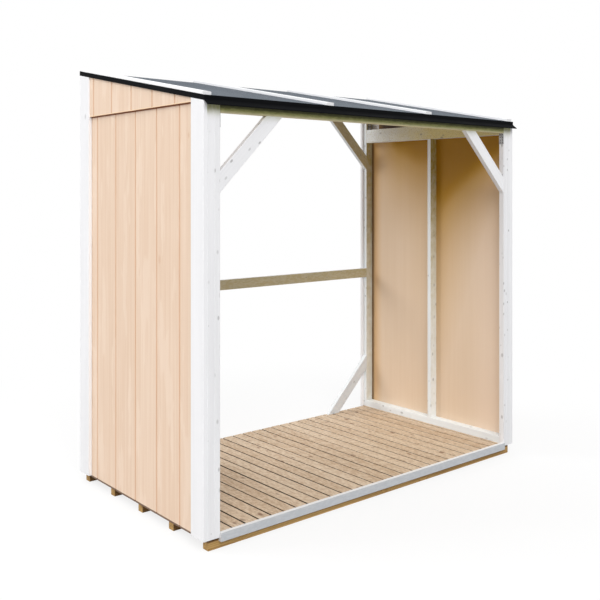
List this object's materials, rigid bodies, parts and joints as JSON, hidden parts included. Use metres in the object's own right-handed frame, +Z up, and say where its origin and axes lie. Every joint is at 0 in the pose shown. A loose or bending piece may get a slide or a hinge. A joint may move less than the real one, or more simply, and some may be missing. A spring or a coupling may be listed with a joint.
{
  "type": "log store",
  "caption": "Open timber log store with clad end walls, a slatted floor on ground beams, braced open front and back frames and a lean-to felt roof with battens.",
  "frame": {"origin": "centre of the underside of the middle ground beam, on the ground", "axes": "+X along the store, +Y from the low front eave to the high back, +Z up"},
  "size_m": [2.2, 1.234, 2.2195],
  "materials": {
    "treated_beam": "brown pressure-treated softwood",
    "floor_board": "bare planed softwood boards with knots",
    "cladding": "pale bare grooved softwood sheet",
    "roof_board": "bare softwood boards",
    "roofing_felt": "grey mineral felt",
    "black_edging": "satin black edging",
    "white_trim": "white painted planed softwood",
    "white_frame": "white stained softwood with knots showing"
  },
  "bodies": {
    "root": {"back_header": "white_frame", "back_rail": "white_frame", "back_roof_edging": "black_edging", "deck_boards": "floor_board", "front_header": "white_frame", "front_roof_apron": "black_edging", "front_sill": "white_trim", "ground_beam_1": "treated_beam", "ground_beam_2": "treated_beam", "ground_beam_3": "treated_beam", "ground_beam_4": "treated_beam", "ground_beam_5": "treated_beam", "left_back_corner_board": "white_trim", "left_back_foot_brace": "white_frame", "left_back_knee_brace": "white_frame", "left_back_side_trim": "white_trim", "left_back_stud": "white_frame", "left_bottom_plate": "white_frame", "left_front_corner_board": "white_trim", "left_front_knee_brace": "white_frame", "left_front_post": "white_frame", "left_front_side_trim": "white_trim", "left_gable_sheet": "cladding", "left_middle_stud": "white_frame", "left_roof_edging": "black_edging", "left_top_plate": "white_frame", "left_wall_sheet": "cladding", "right_back_corner_board": "white_trim", "right_back_foot_brace": "white_frame", "right_back_knee_brace": "white_frame", "right_back_side_trim": "white_trim", "right_back_stud": "white_frame", "right_bottom_plate": "white_frame", "right_front_corner_board": "white_trim", "right_front_knee_brace": "white_frame", "right_front_post": "white_frame", "right_front_side_trim": "white_trim", "right_gable_sheet": "cladding", "right_middle_stud": "white_frame", "right_roof_edging": "black_edging", "right_top_plate": "white_frame", "right_wall_sheet": "cladding", "roof_battens": "white_trim", "roof_deck": "roof_board", "roofing_felt": "roofing_felt"}
  },
  "joints": []
}
